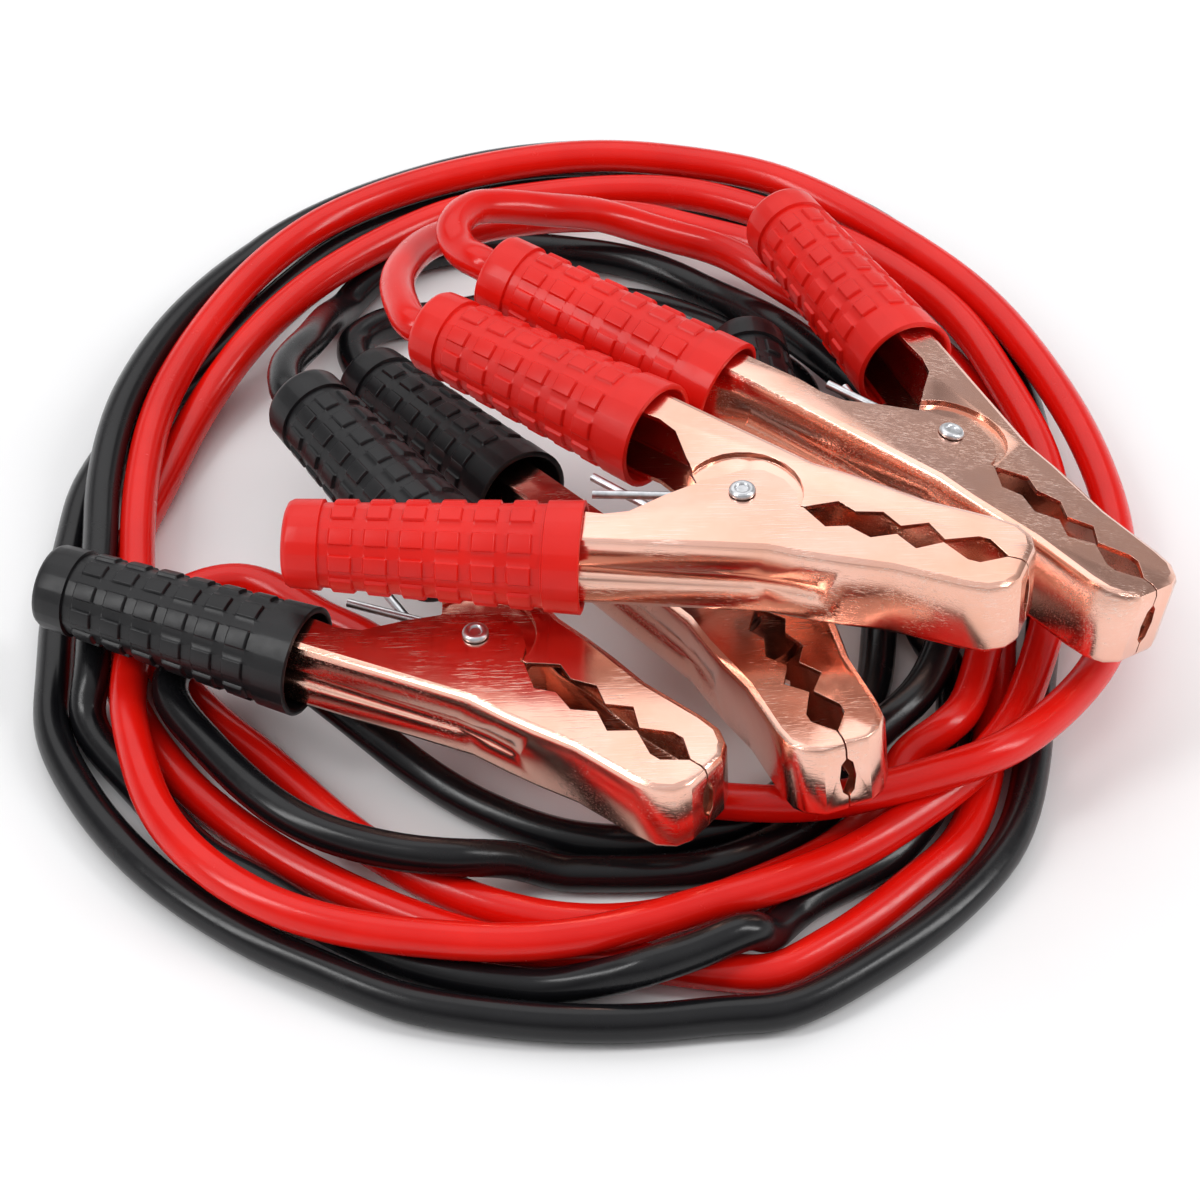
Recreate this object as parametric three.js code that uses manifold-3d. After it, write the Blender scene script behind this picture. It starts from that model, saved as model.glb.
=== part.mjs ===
import * as THREE from 'three';
import Module from 'manifold-3d';
import { mergeVertices } from 'three/addons/utils/BufferGeometryUtils.js';

const wasm = await Module();
wasm.setup();

const RAD = Math.PI / 180;

// Clamp: a spring clamp of two pressed channels. Its own frame has the pivot axis on z through
// the origin, the jaws along +x and the handles along -x. Side +1 is the upper half (+y).
const CHANNEL_HEIGHT = 19.2;
const PLATE = 1.2;
const HALF_HEIGHT = CHANNEL_HEIGHT / 2;
const EDGE_ROUND = 1.8;
const EAR_GAP = 0.3;
const SPLIT = 0.2;                 // each half stops this far from the middle line
const TIP_X = 64.6;
const WALL = [[TIP_X, 5.2], [62.9, 8.8], [59.2, 11.3], [54.0, 12.0], [38.0, 12.2], [28.0, 13.9], [20.0, 14.9], [11.0, 15.6]];
const TEETH = [[60.0, SPLIT], [55.0, 3.9], [52.3, 3.9], [45.8, 0.5], [40.9, 4.4], [35.6, 1.4], [30.7, 4.4], [25.0, 2.5], [20.5, 4.4], [14.1, SPLIT]];
const THROAT = [[-10.0, SPLIT], [-15.3, 6.5], [-20.8, 14.2], [-25.6, 16.9]];
const EAR_DOME = [[12.9, 0.0], [11.0, 4.0], [7.0, 7.2], [2.0, 8.4], [-2.2, 7.2], [-5.6, 3.8], [-10.0, 0.3]];
const POCKET_RADIUS = 13.3;
const INNER_EAR_RADIUS = 11.0;

// Handle: a strip that leaves the throat at an angle, narrows and gets lower inside its grip.
const HANDLE_ANGLE = 15.9 * RAD;
const HANDLE_START = [-30.5, 22.6];
const HANDLE_HALF_WIDTH = 4.7;
const HANDLE_END_HALF_WIDTH = 4.3;
const HANDLE_LENGTH = 58;
const HANDLE_END_HALF_HEIGHT = 6.4;
const TAPER_START_X = -32;
const TAPER_END_X = -90;

// Pivot: hollow rivet through both ears, torsion spring round it.
const RIVET_RADIUS = 2.0;
const RIVET_HOLE = RIVET_RADIUS + 0.3;
const RIVET_HEAD_RADIUS = 2.95;
const RIVET_HEAD = 1.1;
const SPRING_WIRE = 1.0;
const SPRING_RADIUS = 5.2;
const SPRING_TURNS = 3.5;
const SPRING_HALF_HEIGHT = 4.4;
const SPRING_LEG = 50;
const SPRING_LEG_ANGLE = 18.3;

// Grip: tapered rubber sleeve.
const GRIP_LENGTH = 65.2;
const GRIP_MOUTH_RADIUS = 12.5;
const GRIP_END_RADIUS = 9.7;
const GRIP_COLLAR = 8;
const GRIP_STEP = 0.5;
const GRIP_AXIS_SHIFT = -0.3;
const GRIP_SIDES = 16;
const GRIP_CLEARANCE = 0.3;

// Cable.
const CABLE_RADIUS = 4.2;
const CABLE_SHIFT = -1.2;          // cable centre in the channel, towards the open side
const CABLE_SEAT = 45;             // cable starts this far along the handle strip
const CABLE_SIDES = 8;
const CABLE_LEAD = 5;              // straight length just outside the grip

function toManifold(geometry) {
  const bare = geometry.clone();
  bare.deleteAttribute('normal');
  bare.deleteAttribute('uv');
  const merged = mergeVertices(bare, 1e-4);
  return new wasm.Manifold(new wasm.Mesh({
    numProp: 3,
    vertProperties: Float32Array.from(merged.attributes.position.array),
    triVerts: Uint32Array.from(merged.index.array),
  }));
}

function toGeometry(solid) {
  const mesh = solid.getMesh();
  const geometry = new THREE.BufferGeometry();
  geometry.setAttribute('position', new THREE.BufferAttribute(Float32Array.from(mesh.vertProperties), 3));
  geometry.setIndex(new THREE.BufferAttribute(Uint32Array.from(mesh.triVerts), 1));
  geometry.computeVertexNormals();
  return geometry;
}

function shapeOf(points) {
  return new THREE.Shape(points.map(([x, y]) => new THREE.Vector2(x, y)));
}

// A plan outline between two heights, with rounded upper and lower edges when round > 0.
function prism(points, bottom, top, round = 0) {
  const geometry = new THREE.ExtrudeGeometry(shapeOf(points), {
    depth: top - bottom - 2 * round,
    bevelEnabled: round > 0,
    bevelThickness: round,
    bevelSize: round,
    bevelOffset: -round,
    bevelSegments: 2,
  });
  geometry.translate(0, 0, bottom + round);
  return toManifold(geometry);
}

// A side outline in x and z, carried across y.
function sideProfile(points, reach) {
  const geometry = new THREE.ExtrudeGeometry(shapeOf(points), { depth: 2 * reach, bevelEnabled: false });
  geometry.rotateX(Math.PI / 2);
  geometry.translate(0, reach, 0);
  return toManifold(geometry);
}

function disc(radius, bottom, top, sides) {
  const geometry = new THREE.CylinderGeometry(radius, radius, top - bottom, sides);
  geometry.rotateX(Math.PI / 2);
  geometry.translate(0, 0, (top + bottom) / 2);
  return toManifold(geometry);
}

function mirrored(points, side) {
  return points.map(([x, y]) => [x, side * y]);
}

// A point on the upper handle strip: along is measured outwards, across towards the outer wall.
function onHandle(along, across) {
  const [x, y] = HANDLE_START;
  return [
    x - along * Math.cos(HANDLE_ANGLE) + across * Math.sin(HANDLE_ANGLE),
    y + along * Math.sin(HANDLE_ANGLE) + across * Math.cos(HANDLE_ANGLE),
  ];
}

function taperedSide(inset) {
  const high = HALF_HEIGHT - inset;
  const low = HANDLE_END_HALF_HEIGHT - inset;
  return [[90, high], [TAPER_START_X, high], [TAPER_END_X, low], [-120, low],
    [-120, -low], [TAPER_END_X, -low], [TAPER_START_X, -high], [90, -high]];
}

// The pressed channel of one side, before the ears are worked.
function channel(side) {
  const outline = [
    [TIP_X, SPLIT], ...WALL,
    onHandle(0, HANDLE_HALF_WIDTH), onHandle(HANDLE_LENGTH, HANDLE_END_HALF_WIDTH),
    onHandle(HANDLE_LENGTH, -HANDLE_END_HALF_WIDTH), onHandle(0, -HANDLE_HALF_WIDTH),
    ...[...THROAT].reverse(), ...[...TEETH].reverse(),
  ];
  const openSide = 14;
  const outer = [
    [TIP_X, -openSide], ...WALL,
    onHandle(0, HANDLE_HALF_WIDTH), onHandle(HANDLE_LENGTH + 20, HANDLE_END_HALF_WIDTH),
    onHandle(HANDLE_LENGTH + 20, -openSide - 10), onHandle(0, -openSide - 20),
  ];
  const hollow = [
    [TIP_X - PLATE, -openSide - 5], [TIP_X - PLATE, 4.8], [62.0, 7.9], [58.6, 10.2], [54.0, 10.8],
    [38.0, 11.0], [27.8, 12.7], [19.9, 13.7], [10.8, 14.4],
    onHandle(0, HANDLE_HALF_WIDTH - PLATE), onHandle(HANDLE_LENGTH + 25, HANDLE_END_HALF_WIDTH - PLATE),
    onHandle(HANDLE_LENGTH + 25, -openSide - 15), onHandle(0, -openSide - 25),
  ];
  const body = prism(mirrored(outer, side), -HALF_HEIGHT, HALF_HEIGHT, EDGE_ROUND)
    .intersect(prism(mirrored(outline, side), -HALF_HEIGHT - 1, HALF_HEIGHT + 1))
    .intersect(sideProfile(taperedSide(0), 80));
  const inside = prism(mirrored(hollow, side), -HALF_HEIGHT + PLATE, HALF_HEIGHT - PLATE, EDGE_ROUND - 0.7)
    .intersect(sideProfile(taperedSide(PLATE), 90));
  return body.subtract(inside).subtract(tipSlot());
}

// The lens-shaped slot between the two halves on the front of the jaws.
function tipSlot() {
  const lens = [];
  for (let i = 0; i < 8; i += 1) {
    const turn = i * Math.PI / 4;
    lens.push([5.4 * Math.cos(turn), 1.9 * Math.sin(turn)]);
  }
  const geometry = new THREE.ExtrudeGeometry(shapeOf(lens), { depth: 6, bevelEnabled: false });
  geometry.rotateY(Math.PI / 2);
  geometry.translate(TIP_X - 4, 0, 0);
  return toManifold(geometry);
}

// Upper half: its ears step inwards so that they turn under the other half's ears.
function innerHalf() {
  const earTop = HALF_HEIGHT - PLATE - EAR_GAP;
  const upperSector = prism([[-16, SPLIT], [16, SPLIT], [16, 16], [-16, 16]], -HALF_HEIGHT - 2, HALF_HEIGHT + 2);
  let half = channel(1).subtract(disc(POCKET_RADIUS, HALF_HEIGHT - PLATE - 0.2, HALF_HEIGHT + 2, 28))
    .subtract(disc(POCKET_RADIUS, -HALF_HEIGHT - 2, -HALF_HEIGHT + PLATE + 0.2, 28));
  const throatCut = prism([[-8, -40], [-10.2, SPLIT], [-15.5, 6.5], [-30, 16], [-40, -40]], -15, 15);
  for (const face of [1, -1]) {
    const low = face > 0 ? earTop - PLATE : -earTop;
    const high = face > 0 ? earTop : -earTop + PLATE;
    const ringLow = face > 0 ? low : -HALF_HEIGHT;
    const ringHigh = face > 0 ? HALF_HEIGHT : high;
    const ring = disc(POCKET_RADIUS + PLATE, ringLow, ringHigh, 28).subtract(disc(POCKET_RADIUS, -20, 20, 28))
      .intersect(upperSector).subtract(throatCut);
    const floor = disc(POCKET_RADIUS + 0.4, low, high, 28).intersect(upperSector).subtract(throatCut)
      .add(disc(INNER_EAR_RADIUS, low, high, 24).subtract(throatCut));
    half = half.add(ring).add(floor);
  }
  return half.subtract(disc(RIVET_HOLE, -20, 20, 16));
}

// Lower half: its ears are flat and cover the other half's.
function outerHalf() {
  let half = channel(-1);
  const dome = [...EAR_DOME, [-9.9, -1.5], [12.9, -1.5]];
  for (const face of [1, -1]) {
    const low = face > 0 ? HALF_HEIGHT - PLATE : -HALF_HEIGHT;
    half = half.add(prism(dome, low, low + PLATE));
  }
  return half.subtract(disc(RIVET_HOLE, -20, 20, 16));
}

function rivetGeometry() {
  const under = HALF_HEIGHT + EAR_GAP;
  const top = under + RIVET_HEAD;
  const profile = [
    [0, -top + 0.6], [1.3, -top + 0.6], [1.7, -top], [2.4, -top], [RIVET_HEAD_RADIUS, -top + 0.5], [RIVET_HEAD_RADIUS, -under],
    [RIVET_RADIUS, -under], [RIVET_RADIUS, under], [RIVET_HEAD_RADIUS, under], [RIVET_HEAD_RADIUS, top - 0.5],
    [2.4, top], [1.7, top], [1.3, top - 0.6], [0, top - 0.6],
  ].map(([x, y]) => new THREE.Vector2(x, y));
  const geometry = new THREE.LatheGeometry(profile, 14);
  geometry.rotateX(Math.PI / 2);
  return geometry;
}

function tube(path, steps, radius, sides) {
  const section = [];
  for (let i = 0; i < sides; i += 1) {
    const angle = 2 * Math.PI * i / sides;
    section.push([radius * Math.cos(angle), radius * Math.sin(angle)]);
  }
  return new THREE.ExtrudeGeometry(shapeOf(section), { steps, extrudePath: path, bevelEnabled: false });
}

// A curve whose steps fall on its own route points.
class RoutePath extends THREE.Curve {
  constructor(points) {
    super();
    this.inner = new THREE.CatmullRomCurve3(points, false, 'centripetal');
  }

  getPoint(t, target = new THREE.Vector3()) {
    return this.inner.getPoint(t, target);
  }

  getPointAt(t, target = new THREE.Vector3()) {
    return this.inner.getPoint(t, target);
  }

  getTangentAt(t, target = new THREE.Vector3()) {
    return this.inner.getTangent(t, target);
  }
}

// Torsion spring: a coil round the rivet with one leg into each handle.
function springGeometry() {
  const legLength = SPRING_LEG;
  const legAngle = SPRING_LEG_ANGLE * RAD;
  const points = [];
  const start = 90 - SPRING_LEG_ANGLE;
  const sweep = 360 * SPRING_TURNS + 2 * SPRING_LEG_ANGLE;
  const steps = 32;
  const firstAngle = start * RAD;
  const lastAngle = (start + sweep) * RAD;
  const first = [SPRING_RADIUS * Math.cos(firstAngle), SPRING_RADIUS * Math.sin(firstAngle)];
  const last = [SPRING_RADIUS * Math.cos(lastAngle), SPRING_RADIUS * Math.sin(lastAngle)];
  // the leg that starts on the +y side of the coil runs to the lower handle
  for (const part of [1.0, 0.66, 0.33]) {
    points.push([first[0] - part * legLength * Math.cos(legAngle), first[1] - part * legLength * Math.sin(legAngle), SPRING_HALF_HEIGHT]);
  }
  for (let i = 0; i <= steps; i += 1) {
    const angle = firstAngle - (i / steps) * sweep * RAD;
    points.push([SPRING_RADIUS * Math.cos(angle), SPRING_RADIUS * Math.sin(angle), SPRING_HALF_HEIGHT * (1 - 2 * i / steps)]);
  }
  const end = points[points.length - 1];
  for (const part of [0.33, 0.66, 1.0]) {
    points.push([end[0] - part * legLength * Math.cos(legAngle), end[1] + part * legLength * Math.sin(legAngle), -SPRING_HALF_HEIGHT]);
  }
  const path = new RoutePath(points.map(([x, y, z]) => new THREE.Vector3(x, y, z)));
  return tube(path, points.length - 1, SPRING_WIRE, 6);
}

// Grip on one handle. offset is how far along the handle its mouth sits.
function gripGeometry(side, offset, withCable) {
  const straight = (GRIP_MOUTH_RADIUS - GRIP_END_RADIUS) / GRIP_LENGTH;
  const radiusAt = (along) => GRIP_MOUTH_RADIUS - straight * along;
  const capAt = GRIP_LENGTH - GRIP_COLLAR;
  const profile = [
    [0, 0], [radiusAt(0) - 0.6, 0], [radiusAt(0), 0.6], [radiusAt(GRIP_COLLAR), GRIP_COLLAR],
    [radiusAt(GRIP_COLLAR) - GRIP_STEP, GRIP_COLLAR], [radiusAt(capAt) - GRIP_STEP, capAt], [radiusAt(capAt), capAt],
    [GRIP_END_RADIUS, GRIP_LENGTH - 1.5], [GRIP_END_RADIUS - 1.5, GRIP_LENGTH], [0, GRIP_LENGTH],
  ].map(([r, z]) => new THREE.Vector2(r, z));
  const sleeve = new THREE.LatheGeometry(profile, GRIP_SIDES);
  const place = (geometry, along, across) => {
    geometry.rotateZ(Math.PI / 2 - side * HANDLE_ANGLE);
    const [x, y] = onHandle(along, across);
    geometry.translate(x, side * y, 0);
    return geometry;
  };
  let solid = toManifold(place(sleeve, offset, GRIP_AXIS_SHIFT));
  const clear = HANDLE_HALF_WIDTH + GRIP_CLEARANCE;
  const openEdge = -CABLE_RADIUS + CABLE_SHIFT - GRIP_CLEARANCE;
  const depth = Math.min(HANDLE_LENGTH + 0.5, offset + GRIP_LENGTH - 3);
  const room = [onHandle(offset - 3, clear), onHandle(depth, clear), onHandle(depth, openEdge), onHandle(offset - 3, openEdge)];
  const cavity = prism(mirrored(room, side), -14, 14).intersect(sideProfile(taperedSide(-GRIP_CLEARANCE), 80));
  solid = solid.subtract(cavity);
  if (withCable) {
    const boreRadius = CABLE_RADIUS + GRIP_CLEARANCE;
    const bore = new THREE.CylinderGeometry(boreRadius, boreRadius, 50, 14);
    bore.translate(0, 25, 0);
    solid = solid.subtract(toManifold(place(bore, HANDLE_LENGTH - 1, CABLE_SHIFT)));
  }
  return toGeometry(solid);
}

// Where the four clamps lie: pivot in mm, turn, rise of the jaws, lean, and for each grip how far
// it sits along its handle. cableSide is the half that the cable runs into.
const CLAMPS = [
  { name: 'clamp_a', at: [77.5, 1.0, 40.9], turn: -49.2, rise: -1.9, lean: -14.1, upper: 3.7, lower: 14.5, cableSide: -1 },
  { name: 'clamp_b', at: [31.0, -35.3, 56.8], turn: -21.5, rise: 1.6, lean: -0.6, upper: -2.5, lower: -2.2, cableSide: 1 },
  { name: 'clamp_c', at: [-26.7, -52.1, 30.6], turn: -39.8, rise: 0.8, lean: 3.0, upper: -4.0, lower: 0.0, cableSide: 1 },
  { name: 'clamp_d', at: [30.3, -29.8, 27.2], turn: -69.7, rise: 6.6, lean: 3.0, upper: -1.0, lower: 29.5, cableSide: -1 },
];

// The middle of the four clamps on the floor, which is the origin of the part.
const ORIGIN = [-0.4, 2.4, 0];

function fromOrigin([x, y, z]) {
  return [x - ORIGIN[0], y - ORIGIN[1], z - ORIGIN[2]];
}

function clampGroup(spec) {
  const group = new THREE.Group();
  const rubber = new THREE.MeshStandardMaterial({ color: spec.name < 'clamp_c' ? 0xd3140f : 0x1c1b1c });
  const copper = new THREE.MeshStandardMaterial({ color: 0xd99a78, metalness: 1, roughness: 0.25 });
  const steel = new THREE.MeshStandardMaterial({ color: 0xb8b8ba, metalness: 1, roughness: 0.3 });
  const add = (label, geometry, material) => {
    const mesh = new THREE.Mesh(geometry, material);
    mesh.name = `${spec.name}_${label}`;
    group.add(mesh);
  };
  add('upper_jaw', toGeometry(innerHalf()), copper);
  add('lower_jaw', toGeometry(outerHalf()), copper);
  add('rivet', rivetGeometry(), steel);
  add('spring', springGeometry(), steel);
  add('upper_grip', gripGeometry(1, spec.upper, spec.cableSide > 0), rubber);
  add('lower_grip', gripGeometry(-1, spec.lower, spec.cableSide < 0), rubber);
  group.rotation.order = 'ZYX';
  group.rotation.set(spec.lean * RAD, -spec.rise * RAD, spec.turn * RAD);
  group.position.set(...fromOrigin(spec.at));
  return group;
}

// Routes of the two cables on the floor, from the grip of the first clamp to that of the second.
// Each runs out of its clamp, round the ring, turns back once and comes round again.
const RED_ROUTE = [
  [-33, 65, 53], [-35, 73, 53], [-31, 83, 51], [-24, 88, 48], [-13, 93, 43], [0, 101, 35], [15, 104, 27],
  [31, 104, 21], [47, 93, 18], [64, 80, 14], [79, 60, 12.8], [88, 38, 12.8], [91, 13, 12.8], [91, -10, 12.8],
  [87, -30, 12.8], [82, -47, 12.8], [76, -55, 12.8], [68, -60, 9], [62, -71, 4.3], [51, -83, 4.3], [35, -93, 4.3],
  [15, -102, 4.3], [-4, -104, 4.3], [-22, -100, 4.3], [-39, -91, 4.3], [-56, -77, 4.3], [-74, -57, 4.3],
  [-85, -46, 4.3], [-94, -35, 4.3], [-100, -27, 4.3], [-103, -18, 4.3], [-102, -8, 4.3], [-95, -1, 4.3],
  [-85, 2, 4.3], [-75, -2, 4.3], [-65, -10, 4.3], [-53, -18, 4.3], [-34, -37, 7], [-20, -51, 10],
  [-4, -65, 12.8], [15, -74, 12.8], [33, -79, 15], [48, -80, 16.5], [62, -78, 18.5], [72, -76, 20.5], [82, -73, 22],
  [91, -67, 21.5], [104, -51, 18], [114, -33, 15], [119, -14, 12.8], [121, 10, 12.8], [118, 36, 12.8], [110, 64, 12.8], [95, 96, 12.8],
  [72, 123, 12.8], [47, 143, 12.8], [24, 151, 12.8], [0, 154, 12.8], [-21, 151, 12.8], [-42, 144, 12.8], [-59, 135, 12.8],
  [-74, 123, 12.8], [-88, 104, 12.8], [-100, 78, 12.8], [-107, 53, 12.8], [-109, 27, 12.8], [-108, 3, 12.8],
  [-106, -20, 12.8], [-106, -43, 12.8], [-103, -60, 12.8], [-96, -80, 12.8], [-84, -96, 12.8], [-69, -107, 12.8],
  [-53, -113, 12.8], [-36, -116, 12.8], [-17, -117, 12.8], [2, -114, 12.8], [21, -107, 12.8], [39, -100, 12.8],
  [54, -92, 12.8], [68, -81, 12.8], [82, -67, 12.8], [92, -52, 12.8], [99, -33, 12.8], [104, -14, 12.8], [107, 10, 12.8],
  [106, 36, 12.8], [99, 62, 12.8], [89, 88, 12.8], [74, 107, 12.8], [57, 121, 12.8], [40, 131, 12.8], [22, 138, 12.8],
  [3, 139, 12.8], [-17, 136, 12.8], [-37, 130, 12.8], [-56, 117, 12.8], [-73, 100, 12.8], [-87, 79, 12], [-98, 59, 7],
  [-106, 34, 4.3], [-112, 9, 4.3], [-113, -13, 4.3], [-109, -33, 4.3], [-101, -50, 4.3], [-89, -67, 4.3],
  [-72, -83, 4.3], [-55, -95, 4.3], [-34, -106, 4.3], [-16, -112, 4.3], [0, -114, 4.3], [13, -116, 4.3],
  [26, -118, 4.3], [37, -118, 4.3], [47, -112, 4.3], [57, -104, 4.3], [68, -93, 4.3], [78, -82, 4.3],
  [84, -68, 4.3], [87, -54, 4.3], [90, -37, 4.3], [92, -18, 4.3], [94, -1, 4.3], [96, 19, 4.3], [97, 44, 4.3],
  [93, 67, 4.3], [84, 85, 4.3], [75, 93, 8], [66, 98, 13.4], [54, 104, 13.2], [42, 115, 12.8], [26, 122, 12.8],
  [10, 125, 15], [-5, 121, 19], [-19, 112, 25], [-31, 101, 31], [-42, 86, 38], [-47, 70, 44], [-48, 57, 48],
];
const BLACK_ROUTE = [
  [-61, 78, 9], [-61, 84, 8], [-57, 91, 6.5], [-51, 96, 5], [-43, 98, 4.3], [-34, 100, 4.3], [-23, 103, 4.3],
  [-8, 104, 4.3], [10, 103, 4.3], [28, 94, 4.3], [40, 83, 4.3], [49, 70, 6], [52, 49, 10], [57, 29, 12.8],
  [64, 10, 12.8], [70, -4, 12], [75, -17, 5.5], [80, -28, 4.3], [80, -42, 4.3], [77, -59, 4.3], [72, -72, 4.3],
  [63, -85, 4.3], [52, -93, 4.3], [42, -101, 4.3], [36, -110, 7.6], [31, -114, 12.8], [21, -119, 12.8],
  [10, -123, 12], [0, -123, 8], [-14, -122, 4.3], [-37, -117, 4.3], [-57, -106, 4.2], [-73, -94, 4.3],
  [-87, -84, 4.3], [-102, -65, 4.3], [-115, -46, 5.5], [-115, -35, 11.5], [-116, -14, 12.8], [-117, 7, 12.8],
  [-118, 27, 12.8], [-116, 53, 12.8], [-109, 80, 11], [-100, 102, 8], [-88, 123, 4.3], [-73, 138, 4.3],
  [-53, 151, 4.3], [-29, 161, 4.3], [-3, 165, 4.3], [24, 162, 4.3], [50, 151, 4.3], [73, 134, 4.3],
  [89, 109, 4.3], [101, 82, 4.3], [106, 52, 4.3], [106, 23, 4.3], [104, -5, 4.3], [100, -31, 4.3],
  [97, -54, 4.3], [90, -80, 4.3], [75, -101, 4.3], [57, -117, 4.3], [40, -128, 4.3], [26, -130, 4.3],
  [9, -132, 4.3], [-8, -132, 4.3], [-25, -130, 4.3], [-42, -126, 4.3], [-58, -118, 4.3], [-74, -109, 4.3],
  [-92, -95, 4.3], [-105, -81, 4.3], [-115, -66, 4.3], [-123, -48, 4.3], [-125, -28, 4.3], [-126, -5, 4.3],
  [-125, 16, 4.3], [-123, 34, 4.3], [-115, 55, 4.3], [-105, 71, 4.3], [-95, 85, 4.3], [-87, 98, 4.3],
  [-77, 113, 4.3], [-65, 127, 4.3], [-47, 139, 4.3], [-26, 147, 4.3], [-3, 150, 4.3], [26, 144, 4.3],
  [47, 130, 4.3], [58, 110, 4.2], [64, 88, 4.3], [71, 63, 4.3], [73, 37, 4.3], [69, 14, 4.3], [65, -11, 4.3],
  [62, -34, 4.3], [55, -51, 4.3], [44, -63, 4.3], [33, -74, 4.3], [22, -78, 4.3], [9, -81, 4.3], [-9, -79, 4.3],
  [-27, -70, 4.3], [-41, -60, 6], [-52, -52, 10], [-64, -42, 12.8], [-72, -35, 12.8], [-79, -30, 12.8], [-86, -28, 12.8],
  [-92, -30, 12.8], [-96, -36, 12.8], [-96, -45, 12.8], [-88, -58, 12.8], [-74, -75, 12.8], [-61, -85, 12.8], [-45, -91, 12.8],
  [-32, -93, 12.8], [-19, -90, 8.5], [-7, -90, 4.3], [9, -90, 4.3], [24, -88, 4.3], [38, -81, 4.3], [48, -73, 4.3],
  [55, -65, 7], [60, -56, 11], [71, -44, 12.8], [78, -27, 12.8], [81, -7, 12.8], [81, 13, 12.8], [75, 33, 12.8],
  [68, 52, 12.8], [59, 67, 12.8], [45, 84, 12.8], [29, 106, 5], [9, 120, 4.3], [-11, 125, 4.3], [-28, 127, 4.3],
  [-44, 124, 4.3], [-55, 117, 4.3], [-64, 103, 4.3], [-68, 88, 12], [-71, 68, 22], [-75, 52, 28],
];

// Where a cable sits inside its clamp, where it leaves the grip, and a little further out.
function cableEnd(group, spec) {
  const offset = spec.cableSide > 0 ? spec.upper : spec.lower;
  const gripEnd = offset + GRIP_LENGTH;
  group.updateMatrixWorld(true);
  return [CABLE_SEAT, gripEnd, gripEnd + CABLE_LEAD].map((along) => {
    const [x, y] = onHandle(along, CABLE_SHIFT);
    return group.localToWorld(new THREE.Vector3(x, spec.cableSide * y, 0));
  });
}

const part = new THREE.Group();
const ends = CLAMPS.map((spec) => {
  const group = clampGroup(spec);
  part.add(group);
  return cableEnd(group, spec);
});

function addCable(name, first, route, last, color) {
  const points = [...first, ...route.map((point) => new THREE.Vector3(...fromOrigin(point))), ...[...last].reverse()];
  const geometry = tube(new RoutePath(points), points.length - 1, CABLE_RADIUS, CABLE_SIDES);
  const mesh = new THREE.Mesh(geometry, new THREE.MeshStandardMaterial({ color }));
  mesh.name = name;
  part.add(mesh);
}

addCable('cable_red', ends[0], RED_ROUTE, ends[1], 0xd3140f);
addCable('cable_black', ends[3], BLACK_ROUTE, ends[2], 0x1c1b1c);

export default part;
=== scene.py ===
"""Looks of a coiled set of car jumper cables with four copper clamps."""
import logging
import math
from dataclasses import dataclass
from enum import Enum

import bpy
import bmesh
from mathutils import Matrix, Vector


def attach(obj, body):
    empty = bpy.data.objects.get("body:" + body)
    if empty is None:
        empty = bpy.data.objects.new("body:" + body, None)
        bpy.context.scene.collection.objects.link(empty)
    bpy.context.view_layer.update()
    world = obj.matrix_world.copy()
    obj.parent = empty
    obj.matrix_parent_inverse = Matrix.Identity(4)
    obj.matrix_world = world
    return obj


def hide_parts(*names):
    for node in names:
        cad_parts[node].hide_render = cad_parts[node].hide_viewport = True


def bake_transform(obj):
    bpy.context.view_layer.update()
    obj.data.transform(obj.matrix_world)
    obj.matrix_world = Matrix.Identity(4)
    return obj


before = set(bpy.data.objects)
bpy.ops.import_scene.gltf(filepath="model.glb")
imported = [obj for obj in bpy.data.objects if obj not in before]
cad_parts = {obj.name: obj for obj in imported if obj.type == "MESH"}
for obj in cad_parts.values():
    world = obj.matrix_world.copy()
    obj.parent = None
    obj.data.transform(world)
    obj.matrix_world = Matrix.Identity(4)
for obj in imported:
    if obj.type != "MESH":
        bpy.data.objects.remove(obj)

log = logging.getLogger("jumper_cables")

MM = 0.001
ORIGIN = Vector((-0.4, 2.4, 0.0))       # middle of the four clamps, in the photo's frame, mm
FIXED_BODY = "set"
Point = tuple[float, float, float]
Colour = tuple[float, float, float, float]
BLACK: Colour = (0.0, 0.0, 0.0, 1.0)
WHITE: Colour = (1.0, 1.0, 1.0, 1.0)

# Camera
CAMERA_ELEVATION = 44.0
CAMERA_DISTANCE = 899.6
LENS = 114.78
SENSOR = 36.0

# Handle strip, grip and groove sizes, mm, in a clamp's own frame: pivot on z, jaws towards +x
HANDLE_ANGLE = math.radians(15.9)
HANDLE_START = (-30.5, 22.6)
HANDLE_HALF_WIDTH = 4.7
GRIP_LENGTH = 65.2
CABLE_SHIFT = -1.2
GRIP_AXIS_SHIFT = -0.3
CABLE_BORE = 4.3
CABLE_INSIDE = 20.0                     # how far the cable reaches into its grip
CABLE_LEAD = 5.0                        # straight length just outside the grip
GROOVE_ROUND = 4.5                      # radius of the pressed groove's section
GROOVE_DEPTH = 0.8
GROOVE_SIDES = 40
GROOVE_ON_HANDLE = (6.0, 0.0)
GROOVE_ON_WALL = (
    (-18.0, 23.9), (-4.0, 19.9), (8.0, 16.5), (16.0, 15.2), (22.0, 14.7), (24.0, 15.0), (25.4, 15.8),
)

# Edges of the pressed plates, metres and degrees
EDGE_WIDTH = 0.00032
EDGE_STEPS = 2
EDGE_ANGLE = 38.0
SAME_POINT = 0.00001
FLAT_ANGLE = 1.0

# Rivet head as radius and height over the plate, mm
RIVET_HEAD = (
    (0.7, 0.55), (1.25, 0.6), (1.5, 1.0), (1.9, 1.15), (2.4, 1.05),
    (2.8, 0.7), (2.95, 0.35), (2.95, 0.0), (2.0, 0.0),
)
RIVET_UNDER = 9.9
RIVET_SIDES = 40


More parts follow.
